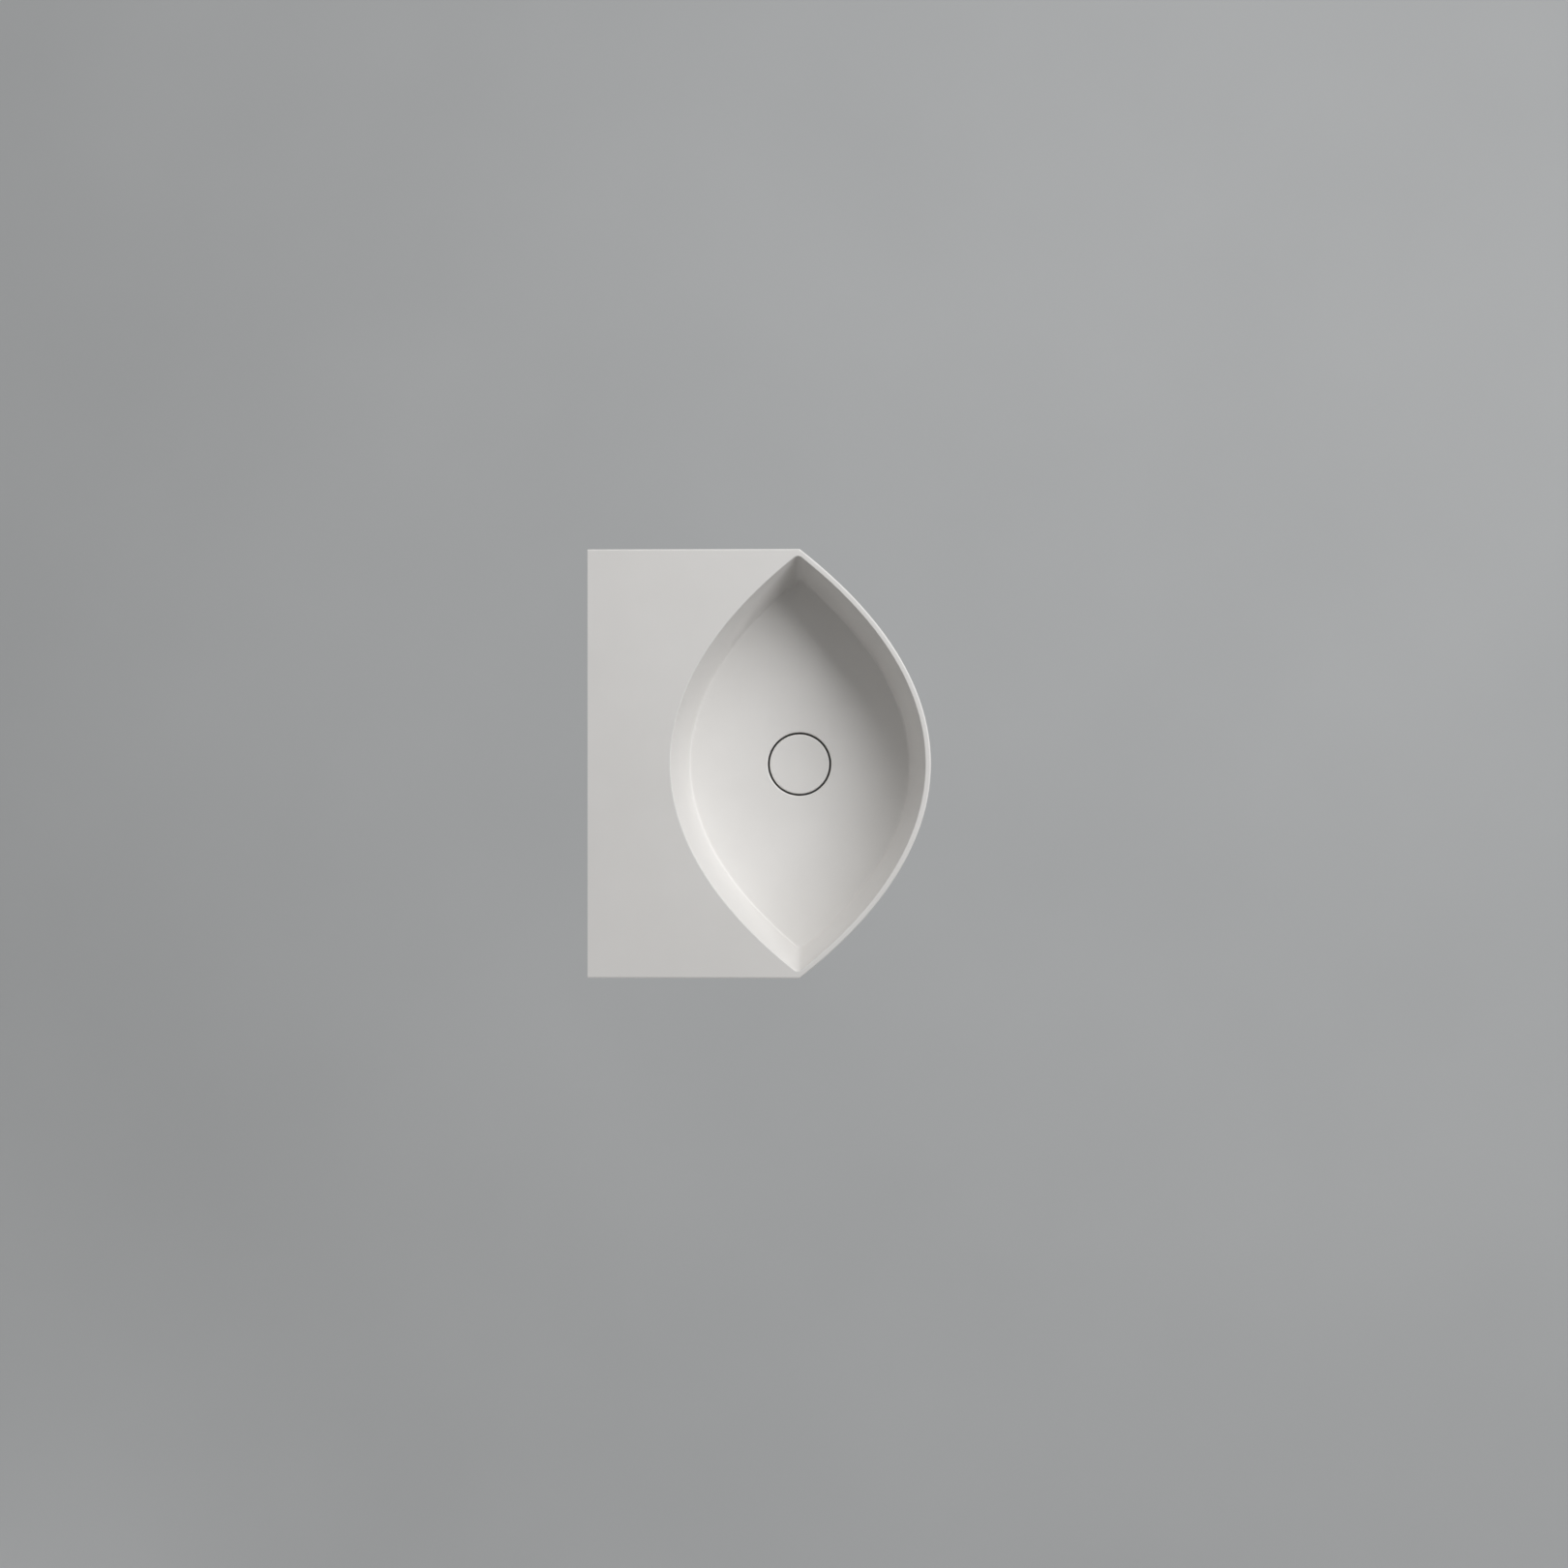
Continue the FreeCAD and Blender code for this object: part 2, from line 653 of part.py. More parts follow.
def make_neck_seal():
    """A cone seal, upright, in a neck whose end is at the origin."""
    cone = neck_cone_diameter / 2
    low = -neck_cone_depth
    crown = neck_seal_crown
    profile = [(pipe_radius, low), (pipe_hole, low), (cone, 0), (cone, crown), (pipe_radius, crown)]
    return lathe(profile, 0, 0)


def make_neck_nut():
    """The fluted nut that presses a cone seal into its neck, upright, with the neck's end at the origin."""
    outer = neck_nut_diameter / 2
    low = -neck_nut_engagement
    top = neck_seal_crown + neck_nut_lip
    profile = [
        (neck_radius, low), (outer - edge_break, low), (outer, low + edge_break),
        (outer, top - edge_break), (outer - edge_break, top), (pipe_hole, top),
        (pipe_hole, neck_seal_crown), (neck_radius, neck_seal_crown),
    ]
    return fluted(lathe(profile, 0, 0), outer, low + nut_plain_edge, top - nut_plain_edge, 0, 0)


def on_head(shape):
    """A piece set on the head's upper neck."""
    shape.translate(vec(0, bowl_y, neck_top_z))
    return shape


def on_outlet(shape):
    """A piece turned to the wall and set on the head's side neck."""
    shape.rotate(vec(0, 0, 0), vec(1, 0, 0), -90)
    shape.translate(vec(0, outlet_neck_y, outlet_z))
    return shape


def make_trap_cup():
    """The cup that unscrews for cleaning, fluted round its top for the hand."""
    outer = head_radius
    foot = cup_low_z + cup_floor
    profile = [
        (0, cup_low_z), (outer - cup_foot_chamfer, cup_low_z), (outer, cup_low_z + cup_foot_chamfer),
        (outer, cup_top_z - edge_break), (outer - edge_break, cup_top_z), (cup_bore, cup_top_z),
        (cup_bore, foot + cup_foot_chamfer), (cup_bore - cup_foot_chamfer, foot), (0, foot),
    ]
    return fluted(lathe(profile), outer, cup_top_z - cup_flute_length, cup_top_z + overrun)


def make_cup_seal():
    """The flat seal that rides on the cup's rim."""
    return lathe(ring_profile(head_radius - 2 * edge_break, cup_bore, cup_top_z, cup_seal_top_z))


def make_outlet_pipe():
    """The pipe to the wall, with a ring scored where it enters the wall."""
    start = outlet_stop_y + free_gap
    score = pipe_radius - spigot_mark_depth
    profile = [
        (pipe_bore, start), (pipe_radius, start),
        (pipe_radius, -spigot_mark_width), (score, -spigot_mark_width), (score, 0), (pipe_radius, 0),
        (pipe_radius, outlet_spigot - edge_break), (pipe_radius - edge_break, outlet_spigot),
        (pipe_bore, outlet_spigot),
    ]
    return wall_lathe(profile)


def make_wall_rosette():
    """The pressed metal rosette that hides the hole in the wall."""
    outer = rosette_diameter / 2
    front = -rosette_height
    inside = front + rosette_sheet
    profile = [
        (pipe_hole, front), (outer - rosette_chamfer, front), (outer, front + rosette_chamfer), (outer, 0),
        (outer - rosette_sheet, 0), (outer - rosette_sheet, inside + rosette_chamfer),
        (outer - rosette_chamfer - rosette_sheet, inside), (pipe_hole, inside),
    ]
    return wall_lathe(profile)


def make_rosette_ring():
    """The soft ring between the rosette's edge and the wall."""
    outer = rosette_diameter / 2 - rosette_sheet
    return wall_lathe(ring_profile(outer, outer - rosette_ring_width, -rosette_ring_thickness, 0))


def make_bracket(x):
    """A folded steel bracket: a wall plate with two bolt holes, an arm and two side webs."""
    half = bracket_width / 2
    bracket = box(x - half, x + half, -bracket_steel, 0, -bracket_drop, arm_top_z)
    bracket = bracket.fuse(box(x - half, x + half, -bracket_arm_length, 0, arm_low_z, arm_top_z))
    for low in (x - half, x + half - bracket_steel):
        outline = [
            vec(low, 0, arm_low_z), vec(low, -bracket_arm_length, arm_low_z),
            vec(low, -bracket_arm_length, arm_low_z - bracket_web_nose),
            vec(low, -bracket_web_foot, -bracket_drop), vec(low, 0, -bracket_drop),
        ]
        web = Part.Face(Part.makePolygon(outline + outline[:1])).extrude(vec(bracket_steel, 0, 0))
        bracket = bracket.fuse(web)
    for z in (-wall_hole_spacing / 2, wall_hole_spacing / 2):
        bracket = bracket.cut(wall_cylinder(wall_hole_diameter / 2, -bracket_steel - overrun, overrun, x, z))
    hole = screw_hole_diameter / 2
    for place_x, y in screw_places:
        bracket = bracket.cut(cylinder(hole, arm_low_z - overrun, arm_top_z + overrun, place_x, y))
    bracket = bracket.removeSplitter()
    top_edges = [edge for edge in level_edges(bracket, arm_top_z) if edge.BoundBox.YLength < touch]
    bends = [edge for edge in top_edges if abs(edge.CenterOfMass.y) < touch]
    noses = [edge for edge in top_edges if abs(edge.CenterOfMass.y + bracket_arm_length) < touch]
    return bracket.makeFillet(bracket_bend_radius, bends).makeFillet(edge_break, noses)


def make_bracket_pads():
    """The rubber strips between the brackets' arms and the casting's bosses."""
    half = bracket_width / 2 - pad_margin
    nose_y = -bracket_arm_length + pad_margin
    hole = screw_hole_diameter / 2
    pads = []
    for side in (-1, 1):
        x = side * bracket_x
        pad = box(x - half, x + half, nose_y, -bracket_steel, arm_top_z, boss_under_z)
        for place_x, y in screw_places:
            pad = pad.cut(cylinder(hole, arm_top_z - overrun, boss_under_z + overrun, place_x, y))
        pads.append(pad)
    return Part.makeCompound(pads)


def make_bracket_inserts():
    """The threaded brass inserts set in the casting's bosses."""
    low = boss_under_z
    high = boss_under_z + insert_length
    inner = screw_diameter / 2
    profile = [
        (inner, low), (insert_diameter / 2, low), (insert_diameter / 2, high), (0, high),
        (0, high - insert_base), (inner, high - insert_base),
    ]
    return Part.makeCompound([lathe(profile, x, y) for x, y in screw_places])


def make_bracket_screws():
    """The hexagon-head screws that hold the casting on its brackets."""
    screws = []
    for x, y in screw_places:
        head = hexagon(screw_head_flats, screw_seat_z - screw_head_height, screw_seat_z, x, y)
        shank = cylinder(screw_diameter / 2, screw_seat_z - touch, boss_under_z + screw_grip, x, y)
        screws.append(head.fuse(shank).removeSplitter())
    return Part.makeCompound(screws)


def make_bracket_washers():
    """The washers under the screws' heads."""
    profile = ring_profile(screw_washer_diameter / 2, screw_hole_diameter / 2, screw_seat_z, arm_low_z)
    return Part.makeCompound([lathe(profile, x, y) for x, y in screw_places])


def main():
    """Make every piece and write it out."""
    os.makedirs("parts", exist_ok=True)
    pieces = {
        "basin_body": make_basin_body(),
        "drain_cover": make_drain_cover(),
        "cover_carrier": make_cover_carrier(),
        "plug_seal": make_plug_seal(),
        "plunger_stem": make_plunger_stem(),
        "latch_sleeve": make_latch_sleeve(),
        "latch_screw": make_latch_screw(),
        "latch_spring": make_latch_spring(),
        "waste_body": make_waste_body(),
        "flange_gasket": make_flange_gasket(),
        "cone_gasket": make_cone_gasket(),
        "slip_washer": make_slip_washer(),
        "back_nut": make_back_nut(),
        "inlet_nut": make_inlet_nut(),
        "inlet_washer": make_inlet_washer(),
        "inlet_tube": make_inlet_tube(),
        "trap_head": make_trap_head(),
        "head_nut": on_head(make_neck_nut()),
        "head_seal": on_head(make_neck_seal()),
        "trap_cup": make_trap_cup(),
        "cup_seal": make_cup_seal(),
        "outlet_nut": on_outlet(make_neck_nut()),
        "outlet_seal": on_outlet(make_neck_seal()),
        "outlet_pipe": make_outlet_pipe(),
        "wall_rosette": make_wall_rosette(),
        "rosette_ring": make_rosette_ring(),
        "left_bracket": make_bracket(-bracket_x),
        "right_bracket": make_bracket(bracket_x),
        "bracket_pads": make_bracket_pads(),
        "bracket_inserts": make_bracket_inserts(),
        "bracket_screws": make_bracket_screws(),
        "bracket_washers": make_bracket_washers(),
    }
    for name, shape in pieces.items():
        box_of = shape.BoundBox
        print(f"{name}: valid {shape.isValid()}, solids {len(shape.Solids)}, volume {shape.Volume:.1f},",
              f"z {box_of.ZMin:.1f} to {box_of.ZMax:.1f}")
        shape.exportStep(f"parts/{name}.step")


main()
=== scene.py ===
"""Dresses, lights and frames a wall-hung basin with a pointed-oval bowl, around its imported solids.

Metres, +Z up, +X along the wall, +Y into the wall; the wall is the plane y = 0.
"""
import logging
import math
from collections.abc import Sequence
from dataclasses import dataclass
from enum import Enum
from typing import ClassVar

import bpy
import bmesh
from mathutils import Matrix, Vector


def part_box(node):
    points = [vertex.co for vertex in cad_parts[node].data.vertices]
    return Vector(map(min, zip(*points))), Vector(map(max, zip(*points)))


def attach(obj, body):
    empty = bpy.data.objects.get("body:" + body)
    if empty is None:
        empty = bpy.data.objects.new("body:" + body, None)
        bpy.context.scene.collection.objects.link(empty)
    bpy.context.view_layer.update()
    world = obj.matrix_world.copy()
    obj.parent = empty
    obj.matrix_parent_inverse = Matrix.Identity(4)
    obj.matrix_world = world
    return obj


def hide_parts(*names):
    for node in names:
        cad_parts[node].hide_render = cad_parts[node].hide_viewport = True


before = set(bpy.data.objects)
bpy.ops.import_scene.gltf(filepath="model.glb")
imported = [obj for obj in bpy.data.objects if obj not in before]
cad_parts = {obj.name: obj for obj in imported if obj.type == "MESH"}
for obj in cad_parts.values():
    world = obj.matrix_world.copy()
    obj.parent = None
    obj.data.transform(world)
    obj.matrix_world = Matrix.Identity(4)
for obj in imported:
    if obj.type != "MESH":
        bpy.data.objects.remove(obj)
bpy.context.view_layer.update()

MM = 0.001
NOISE_STRETCH = (0.32, 0.68)  # Most of a noise lies between these.
MIX_COLOURS_IN = (6, 7)  # The Mix node's colour sockets, whose names its number sockets have too.
MIX_COLOUR_OUT = 2
SIDE_SHARE = 0.45  # The most of a side that one rounded corner takes.
SHARP_ANGLE = math.radians(35.0)
log = logging.getLogger("basin")

Colour = tuple[float, float, float]
Point = tuple[float, float]
Outline = Sequence[Point]


class Axis(Enum):
    """The axes that turned pieces go round: the waste's upright one, and the outlet's to the wall."""

    UPRIGHT = (0, 0, 1)
    TO_WALL = (0, 1, 0)


class Metal(Enum):
    """The bare and toned metals, each with its light and its dark tone."""

    GUNMETAL = ((0.270, 0.262, 0.255), (0.185, 0.180, 0.176))
    BRASS = ((0.76, 0.58, 0.30), (0.62, 0.44, 0.20))
    STEEL = ((0.60, 0.60, 0.60), (0.46, 0.46, 0.47))


class NodeUse(Enum):
    """What nodes are for, each with the coordinates that it reads and the node that it ends in."""

    SURFACE = ("Object", "Material Output")
    SKY = ("Generated", "World Output")


class NumberSum(Enum):
    """The sums of two numbers that materials and sky need."""

    TOTAL = "ADD"
    PRODUCT = "MULTIPLY"
    LARGER = "MAXIMUM"


class VectorSum(Enum):
    """The sums with vectors that materials and sky need."""

    DIFFERENCE = "SUBTRACT"
    PRODUCT = "MULTIPLY"
    LENGTH = "LENGTH"
    DOT_PRODUCT = "DOT_PRODUCT"


class Body(Enum):
    """The bodies that pieces ride on."""

    BASIN = "basin"
    PLUG = "drain_plug"
    CUP_SEAL = "cup_seal_ring"


def opaque(colour: Colour) -> tuple[float, float, float, float]:
    """Give a colour its full cover, as sockets ask for it."""
    return (*colour, 1.0)


class NodeSheet:
    """The nodes of a material or of the sky, with short calls that add and join them."""

    def __init__(self, tree: bpy.types.NodeTree, use: NodeUse) -> None:
        """Start from the nodes that a new material or sky has.

        Args:
            tree: The nodes.
            use: What they are for.
        """
        place, output = use.value
        self.tree = tree
        self.nodes = tree.nodes
        self.place = self.nodes.new("ShaderNodeTexCoord").outputs[place]
        self.output = self.nodes[output]

    def join(self, source: bpy.types.NodeSocket, target: bpy.types.NodeSocket) -> None:
        """Link an output to an input."""
        self.tree.links.new(source, target)

    def number(self, kind: NumberSum, first: bpy.types.NodeSocket,
               second: bpy.types.NodeSocket) -> bpy.types.NodeSocket:
        """Add a sum of two numbers.

        Args:
            kind: Which sum.
            first: The first number.
            second: The second number.

        Returns:
            The sum.
        """
        node = self.nodes.new("ShaderNodeMath")
        node.operation = kind.value
        self.join(first, node.inputs[0])
        self.join(second, node.inputs[1])
        return node.outputs["Value"]

    def vector(self, kind: VectorSum, source: bpy.types.NodeSocket,
               other: tuple[float, float, float] = (0, 0, 0)) -> bpy.types.NodeSocket:
        """Add a sum with vectors.

        Args:
            kind: Which sum.
            source: The first vector.
            other: The second vector.

        Returns:
            The sum, a number for a length or a dot product and otherwise a vector.
        """
        node = self.nodes.new("ShaderNodeVectorMath")
        node.operation = kind.value
        self.join(source, node.inputs[0])
        node.inputs[1].default_value = other
        is_number = kind in (VectorSum.LENGTH, VectorSum.DOT_PRODUCT)
        return node.outputs["Value" if is_number else "Vector"]

    def spread(self, source: bpy.types.NodeSocket, low: float, high: float,
               stretch: tuple[float, float] = NOISE_STRETCH) -> bpy.types.NodeSocket:
        """Spread a stretch of a value over a new range, and hold it there.

        Args:
            source: The value.
            low: What the stretch's start becomes.
            high: What the stretch's end becomes.
            stretch: The stretch's start and end.

        Returns:
            The spread value.
        """
        node = self.nodes.new("ShaderNodeMapRange")
        node.inputs["From Min"].default_value, node.inputs["From Max"].default_value = stretch
        node.inputs["To Min"].default_value = low
        node.inputs["To Max"].default_value = high
        self.join(source, node.inputs["Value"])
        return node.outputs["Result"]

    def background_rays(self) -> bpy.types.NodeSocket:
        """Tell the rays that show the background from the rays that light the basin.

        Returns:
            1 on the camera's rays and on mirrored or passed ones, and otherwise 0.
        """
        path = self.nodes.new("ShaderNodeLightPath")
        total = path.outputs["Is Camera Ray"]
        for name in ("Is Glossy Ray", "Is Transmission Ray"):
            total = self.number(NumberSum.LARGER, total, path.outputs[name])
        return total

    def show(self, share: bpy.types.NodeSocket, first: bpy.types.NodeSocket,
             second: bpy.types.NodeSocket) -> None:
        """Show a mix of two shaders.

        Args:
            share: How much of the second shader shows.
            first: The first shader.
            second: The second shader.
        """
        node = self.nodes.new("ShaderNodeMixShader")
        for target, source in zip(node.inputs, (share, first, second)):
            self.join(source, target)
        self.join(node.outputs["Shader"], self.output.inputs["Surface"])


class SurfaceSheet(NodeSheet):
    """The nodes of one new material."""

    def __init__(self, name: str) -> None:
        """Start a material with one principled surface.

        Args:
            name: The material's name.
        """
        self.material = bpy.data.materials.new(name)
        self.material.use_nodes = True
        super().__init__(self.material.node_tree, NodeUse.SURFACE)
        self.surface = self.nodes["Principled BSDF"]
        self.relief: bpy.types.NodeSocket | None = None

    def feed(self, socket: str, source: bpy.types.NodeSocket) -> None:
        """Link an output to one of the surface's inputs."""
        self.join(source, self.surface.inputs[socket])

    def fix(self, **values: float) -> None:
        """Set inputs that are the same all over, by their names with underscores for spaces."""
        for name, value in values.items():
            self.surface.inputs[name.replace("_", " ")].default_value = value

    def noise(self, scale: float, detail: float = 3.0,
              place: bpy.types.NodeSocket | None = None) -> bpy.types.NodeSocket:
        """Add a noise over the piece.

        Args:
            scale: Waves a metre.
            detail: How many finer layers are laid over it.
            place: Where the noise is read, or None for the plain place.

        Returns:
            The noise, mostly within NOISE_STRETCH.
        """
        node = self.nodes.new("ShaderNodeTexNoise")
        node.inputs["Scale"].default_value = scale
        node.inputs["Detail"].default_value = detail
        self.join(self.place if place is None else place, node.inputs["Vector"])
        return node.outputs[0]

    def blend(self, share: bpy.types.NodeSocket, first: Colour | bpy.types.NodeSocket,
              second: Colour | bpy.types.NodeSocket) -> bpy.types.NodeSocket:
        """Mix two colours by a share.

        Args:
            share: How much of the second colour shows.
            first: A colour, or an output that gives one.
            second: A colour, or an output that gives one.

        Returns:
            The mixed colour.
        """
        node = self.nodes.new("ShaderNodeMix")
        node.data_type = "RGBA"
        self.join(share, node.inputs["Factor"])
        for index, colour in zip(MIX_COLOURS_IN, (first, second)):
            if isinstance(colour, tuple):
                node.inputs[index].default_value = opaque(colour)
            else:
                self.join(colour, node.inputs[index])
        return node.outputs[MIX_COLOUR_OUT]

    def towards(self, share: bpy.types.NodeSocket, value: bpy.types.NodeSocket,
                goal: float) -> bpy.types.NodeSocket:
        """Move a value towards a number by a share.

        Args:
            share: How far it moves, from 0 to 1.
            value: The value.
            goal: The number.

        Returns:
            The moved value.
        """
        node = self.nodes.new("ShaderNodeMix")
        self.join(share, node.inputs["Factor"])
        self.join(value, node.inputs["A"])
        node.inputs["B"].default_value = goal
        return node.outputs["Result"]

    def emboss(self, height: bpy.types.NodeSocket, depth: float, strength: float = 1.0) -> None:
        """Raise the surface's relief by a height, over what was raised before.

        Args:
            height: The height, from 0 to 1.
            depth: How deep a whole step is.
            strength: How much of it shows.
        """
        node = self.nodes.new("ShaderNodeBump")
        node.inputs["Strength"].default_value = strength
        node.inputs["Distance"].default_value = depth
        self.join(height, node.inputs["Height"])
        if self.relief is not None:
            self.join(self.relief, node.inputs["Normal"])
        self.relief = node.outputs["Normal"]
        self.feed("Normal", self.relief)

    def ring_place(self, axis: Axis, centre: Vector) -> bpy.types.NodeSocket:
        """Give a place that is the same all along a ring round an axis.

        Args:
            axis: The axis.
            centre: A point on it.

        Returns:
            The place to read a noise at.
        """
        across = tuple(1 - part for part in axis.value)
        local = self.vector(VectorSum.DIFFERENCE, self.place, tuple(centre))
        radius = self.vector(VectorSum.LENGTH, self.vector(VectorSum.PRODUCT, local, across))
        height = self.vector(VectorSum.DOT_PRODUCT, local, axis.value)
        node = self.nodes.new("ShaderNodeCombineXYZ")
        self.join(radius, node.inputs["X"])
        self.join(height, node.inputs["Z"])
        return node.outputs["Vector"]

    def facing_down(self, full: float = -0.75, none: float = -0.25) -> bpy.types.NodeSocket:
        """Tell the faces that look at the floor from the others.

        Args:
            full: The upward part of the normal where a face counts in full.
            none: The upward part of the normal where it no longer counts.

        Returns:
            1 where the surface faces the floor, falling to 0 where it stands upright.
        """
        normal = self.nodes.new("ShaderNodeNewGeometry").outputs["Normal"]
        height = self.vector(VectorSum.DOT_PRODUCT, normal, Axis.UPRIGHT.value)
        return self.spread(height, 1.0, 0.0, (full, none))


@dataclass(frozen=True)
class MattCeramic:
    """Warm white with a matt glaze on the side that shows, and rougher and greyer underneath."""

    name: str = "matt_ceramic"
    light: Colour = (0.817, 0.804, 0.788)
    dark: Colour = (0.793, 0.780, 0.763)
    raw: Colour = (0.702, 0.690, 0.666)
    roughness: tuple[float, float] = (0.46, 0.56)
    raw_roughness: float = 0.8
    gloss: float = 0.42
    cloud_scale: float = 11.0
    cloud_detail: float = 4.0
    satin_scale: float = 60.0
    grain_scale: float = 1500.0
    grain_depth: float = 0.02 * MM
    pore_scale: float = 420.0
    pore_detail: float = 5.0
    pore_reach: tuple[float, float] = (0.3, 0.5)
    pore_depth: float = 0.12 * MM

    def material(self) -> bpy.types.Material:
        """Make the material.

        Returns:
            The new material.
        """
        sheet = SurfaceSheet(self.name)
        under = sheet.facing_down()
        cloud = sheet.spread(sheet.noise(self.cloud_scale, self.cloud_detail), 0.0, 1.0)
        glazed = sheet.blend(cloud, self.dark, self.light)
        sheet.feed("Base Color", sheet.blend(under, glazed, self.raw))
        satin = sheet.spread(sheet.noise(self.satin_scale), *self.roughness)
        sheet.feed("Roughness", sheet.towards(under, satin, self.raw_roughness))
        sheet.fix(Specular_IOR_Level=self.gloss)
        sheet.emboss(sheet.noise(self.grain_scale), self.grain_depth)
        pores = sheet.spread(sheet.noise(self.pore_scale, self.pore_detail), 0.0, 1.0, self.pore_reach)
        sheet.emboss(sheet.number(NumberSum.PRODUCT, pores, under), self.pore_depth)
        return sheet.material


@dataclass(frozen=True)
class ToolMarkedMetal:
    """A bare or toned metal with the fine lines of its last tool."""

    name: str
    metal: Metal
    axis: Axis
    centre: Vector
    roughness: tuple[float, float] = (0.26, 0.42)
    line_scale: float = 2600.0
    line_detail: float = 2.0
    line_depth: float = 0.012 * MM
    line_strength: float = 0.7
    band_scale: float = 320.0
    smudge_scale: float = 38.0
    smudge_detail: float = 4.0
    smudge_share: float = 0.35
    smudge_roughness: float = 0.08

    def material(self) -> bpy.types.Material:
        """Make the material.

        Returns:
            The new material.
        """
        sheet = SurfaceSheet(self.name)
        light, dark = self.metal.value
        rings = sheet.ring_place(self.axis, self.centre)
        lines = sheet.noise(self.line_scale, self.line_detail, rings)
        bands = sheet.noise(self.band_scale, place=rings)
        smudges = sheet.noise(self.smudge_scale, self.smudge_detail)
        tone = sheet.blend(sheet.spread(lines, 0.0, 1.0), dark, light)
        sheet.feed("Base Color", sheet.blend(sheet.spread(smudges, 0.0, self.smudge_share), tone, dark))
        turned = sheet.spread(bands, *self.roughness)
        rubbed = sheet.spread(smudges, 0.0, self.smudge_roughness)
        sheet.feed("Roughness", sheet.number(NumberSum.TOTAL, turned, rubbed))
        sheet.fix(Metallic=1.0)
        sheet.emboss(lines, self.line_depth, self.line_strength)
        return sheet.material


@dataclass(frozen=True)
class PlatedSteel:
    """Zinc-plated sheet: a cool grey with faint bluish and straw-coloured clouds."""

    name: str = "zinc_plate"
    cool: Colour = (0.50, 0.525, 0.555)
    straw: Colour = (0.575, 0.560, 0.515)
    dull: Colour = (0.40, 0.405, 0.41)
    roughness: tuple[float, float] = (0.34, 0.50)
    cloud_scale: float = 26.0
    cloud_detail: float = 5.0
    spangle_scale: float = 260.0
    spangle_depth: float = 0.03 * MM
    spangle_strength: float = 0.5
    fleck_share: float = 0.45
    fleck_reach: tuple[float, float] = (0.1, 0.8)

    def material(self) -> bpy.types.Material:
        """Make the material.

        Returns:
            The new material.
        """
        sheet = SurfaceSheet(self.name)
        clouds = sheet.noise(self.cloud_scale, self.cloud_detail)
        spangle = sheet.nodes.new("ShaderNodeTexVoronoi")
        spangle.inputs["Scale"].default_value = self.spangle_scale
        sheet.join(sheet.place, spangle.inputs["Vector"])
        tint = sheet.blend(sheet.spread(clouds, 0.0, 1.0), self.cool, self.straw)
        flecks = sheet.spread(spangle.outputs["Distance"], 0.0, self.fleck_share, self.fleck_reach)
        sheet.feed("Base Color", sheet.blend(flecks, tint, self.dull))
        sheet.feed("Roughness", sheet.spread(clouds, *self.roughness))
        sheet.fix(Metallic=1.0)
        sheet.emboss(spangle.outputs["Distance"], self.spangle_depth, self.spangle_strength)
        return sheet.material


@dataclass(frozen=True)
class MouldedRubber:
    """Black rubber with a fine grain and a faint grey bloom."""

    name: str = "black_rubber"
    black: Colour = (0.017, 0.017, 0.018)
    bloom: Colour = (0.050, 0.050, 0.051)
    roughness: tuple[float, float] = (0.58, 0.74)
    gloss: float = 0.35
    bloom_scale: float = 55.0
    bloom_detail: float = 5.0
    bloom_share: float = 0.6
    grain_scale: float = 1300.0
    grain_depth: float = 0.05 * MM
    grain_strength: float = 0.6

    def material(self) -> bpy.types.Material:
        """Make the material.

        Returns:
            The new material.
        """
        sheet = SurfaceSheet(self.name)
        bloom = sheet.noise(self.bloom_scale, self.bloom_detail)
        share = sheet.spread(bloom, 0.0, self.bloom_share)
        sheet.feed("Base Color", sheet.blend(share, self.black, self.bloom))
        sheet.feed("Roughness", sheet.spread(bloom, *self.roughness))
        sheet.fix(Specular_IOR_Level=self.gloss)
        sheet.emboss(sheet.noise(self.grain_scale), self.grain_depth, self.grain_strength)
        return sheet.material


@dataclass(frozen=True)
class NaturalPlastic:
    """Undyed moulded plastic, milky and slightly uneven."""

    name: str = "natural_plastic"
    milk: Colour = (0.76, 0.755, 0.73)
    cream: Colour = (0.70, 0.69, 0.65)
    roughness: tuple[float, float] = (0.36, 0.48)
    cloud_scale: float = 90.0
    grain_scale: float = 1800.0
    grain_depth: float = 0.02 * MM
    grain_strength: float = 0.5

    def material(self) -> bpy.types.Material:
        """Make the material.

        Returns:
            The new material.
        """
        sheet = SurfaceSheet(self.name)
        clouds = sheet.noise(self.cloud_scale)
        sheet.feed("Base Color", sheet.blend(sheet.spread(clouds, 0.0, 1.0), self.milk, self.cream))
        sheet.feed("Roughness", sheet.spread(clouds, *self.roughness))
        sheet.emboss(sheet.noise(self.grain_scale), self.grain_depth, self.grain_strength)
        return sheet.material


